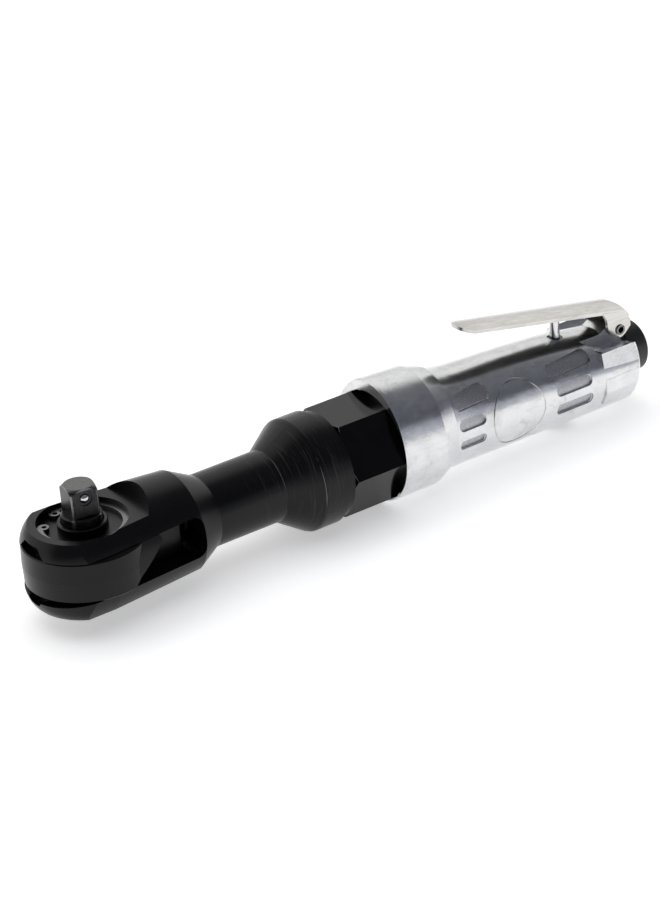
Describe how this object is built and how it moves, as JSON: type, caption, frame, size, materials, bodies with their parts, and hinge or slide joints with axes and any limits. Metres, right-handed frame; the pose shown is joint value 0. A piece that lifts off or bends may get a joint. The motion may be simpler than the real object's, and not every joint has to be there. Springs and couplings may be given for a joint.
{
  "type": "air ratchet",
  "caption": "Pneumatic ratchet wrench: round head with square drive, slim neck, clamp nut, cast grip with throttle lever and rear air inlet.",
  "frame": {"origin": "centre of the square drive's shoulder, on the drive axis", "axes": "+Z out along the square drive, +X along the tool towards the air inlet, +Y to the tool's left"},
  "size_m": [0.2524, 0.042, 0.0533],
  "materials": {
    "black_steel": "satin black coating over turned steel",
    "black_nut": "glossy black",
    "cast_alloy": "tumbled and polished",
    "stamped_steel": "plated, satin",
    "dark_steel": "phosphated, lightly worn",
    "bright_steel": "ground",
    "ground_steel": "ground",
    "spring_steel": "drawn wire",
    "bronze": "machined",
    "black_plastic": "moulded, fine grain",
    "vane_fibre": "phenolic cloth laminate",
    "seal_rubber": "matte",
    "felt": "grey felt",
    "steel_gauze": "punched sheet"
  },
  "bodies": {
    "tool": {"ratchet_housing": "black_steel", "anvil_bushing": "ground_steel", "retaining_ring": "spring_steel", "needle_bearing_shell": "ground_steel", "needle_rollers": "bright_steel", "crank_thrust_washer": "bronze", "ring_gear": "dark_steel", "gear_spacer": "ground_steel", "clamp_nut": "black_nut", "front_bearing": "bright_steel", "rear_bearing": "bright_steel", "front_end_plate": "ground_steel", "rear_end_plate": "ground_steel", "motor_cylinder": "ground_steel", "cylinder_dowel": "ground_steel", "motor_housing": "cast_alloy", "lever_pin": "spring_steel", "valve_bushing": "ground_steel", "stem_seal": "seal_rubber", "valve_spring": "spring_steel", "valve_plug": "dark_steel", "inlet_bushing": "dark_steel", "inlet_screen": "steel_gauze", "inlet_seal": "seal_rubber", "muffler": "felt"},
    "yoke": {"yoke": "black_steel"},
    "anvil": {"anvil": "dark_steel", "thrust_washer": "ground_steel", "pawl_pin": "ground_steel", "detent_spring": "spring_steel"},
    "pawl": {"pawl": "dark_steel"},
    "reverse_knob": {"reverse_knob": "dark_steel", "knob_clip": "spring_steel", "pawl_plunger": "ground_steel", "pawl_spring": "spring_steel"},
    "detent_ball": {"detent_ball": "bright_steel"},
    "crankshaft": {"crankshaft": "dark_steel", "planet_pins": "ground_steel"},
    "crank_bushing": {"crank_bushing": "bronze"},
    "planet_gear_1": {"planet_gear_1": "dark_steel"},
    "planet_gear_2": {"planet_gear_2": "dark_steel"},
    "planet_gear_3": {"planet_gear_3": "dark_steel"},
    "rotor": {"rotor": "dark_steel", "rotor_vanes": "vane_fibre"},
    "throttle_lever": {"throttle_lever": "stamped_steel"},
    "valve_stem": {"valve_stem": "bright_steel", "valve_body": "bronze"},
    "exhaust_deflector": {"exhaust_deflector": "black_plastic"}
  },
  "joints": [
    {"name": "anvil_spin", "type": "hinge", "parent": "tool", "child": "anvil", "pos_m": [0, 0, 0], "axis": [0, 0, 1], "continuous": true},
    {"name": "yoke_rock", "type": "hinge", "parent": "tool", "child": "yoke", "pos_m": [0, 0, 0], "axis": [0, 0, 1], "range_deg": [-3.8, 3.8]},
    {"name": "reverse_knob_turn", "type": "hinge", "parent": "anvil", "child": "reverse_knob", "pos_m": [0, 0, 0], "axis": [0, 0, 1], "range_deg": [0, 44]},
    {"name": "pawl_tilt", "type": "hinge", "parent": "anvil", "child": "pawl", "pos_m": [-0.0068, 0, 0], "axis": [0, 0, 1], "range_deg": [-8, 0]},
    {"name": "detent_press", "type": "slide", "parent": "anvil", "child": "detent_ball", "axis": [0.1392, 0.9903, 0], "range_m": [0, 0.0009], "stiffness_N_per_m": 2000, "springref_m": -0.001},
    {"name": "rotor_spin", "type": "hinge", "parent": "tool", "child": "rotor", "pos_m": [0.13, 0, -0.0165], "axis": [1, 0, 0], "continuous": true},
    {"name": "crank_spin", "type": "hinge", "parent": "tool", "child": "crankshaft", "pos_m": [0.05, 0, -0.0165], "axis": [1, 0, 0], "continuous": true},
    {"name": "crank_bushing_spin", "type": "hinge", "parent": "crankshaft", "child": "crank_bushing", "pos_m": [0.027, 0, -0.0147], "axis": [1, 0, 0], "continuous": true},
    {"name": "planet_1_spin", "type": "hinge", "parent": "crankshaft", "child": "planet_gear_1", "pos_m": [0.0976, 0, -0.0093], "axis": [1, 0, 0], "continuous": true},
    {"name": "planet_2_spin", "type": "hinge", "parent": "crankshaft", "child": "planet_gear_2", "pos_m": [0.0976, -0.00624, -0.0201], "axis": [1, 0, 0], "continuous": true},
    {"name": "planet_3_spin", "type": "hinge", "parent": "crankshaft", "child": "planet_gear_3", "pos_m": [0.0976, 0.00624, -0.0201], "axis": [1, 0, 0], "continuous": true},
    {"name": "lever_press", "type": "hinge", "parent": "tool", "child": "throttle_lever", "pos_m": [0.2203, 0, -0.0055], "axis": [0, -1, 0], "range_deg": [0, 6], "stiffness_Nm_per_rad": 0.6, "springref_deg": -17.19},
    {"name": "valve_press", "type": "slide", "parent": "tool", "child": "valve_stem", "axis": [0, 0, -1], "range_m": [0, 0.0027], "deforming": ["valve_spring"]},
    {"name": "deflector_turn", "type": "hinge", "parent": "tool", "child": "exhaust_deflector", "pos_m": [0.227, 0, -0.0165], "axis": [1, 0, 0], "continuous": true}
  ],
  "couplings": [
    {"joint": "pawl_tilt", "follows": "reverse_knob_turn", "ratio": -0.18182},
    {"joint": "crank_spin", "follows": "rotor_spin", "ratio": 0.25},
    {"joint": "valve_press", "follows": "lever_press", "m_per_rad": 0.0248},
    {"joint": "planet_1_spin", "follows": "rotor_spin", "ratio": -0.75},
    {"joint": "planet_2_spin", "follows": "rotor_spin", "ratio": -0.75},
    {"joint": "planet_3_spin", "follows": "rotor_spin", "ratio": -0.75}
  ]
}
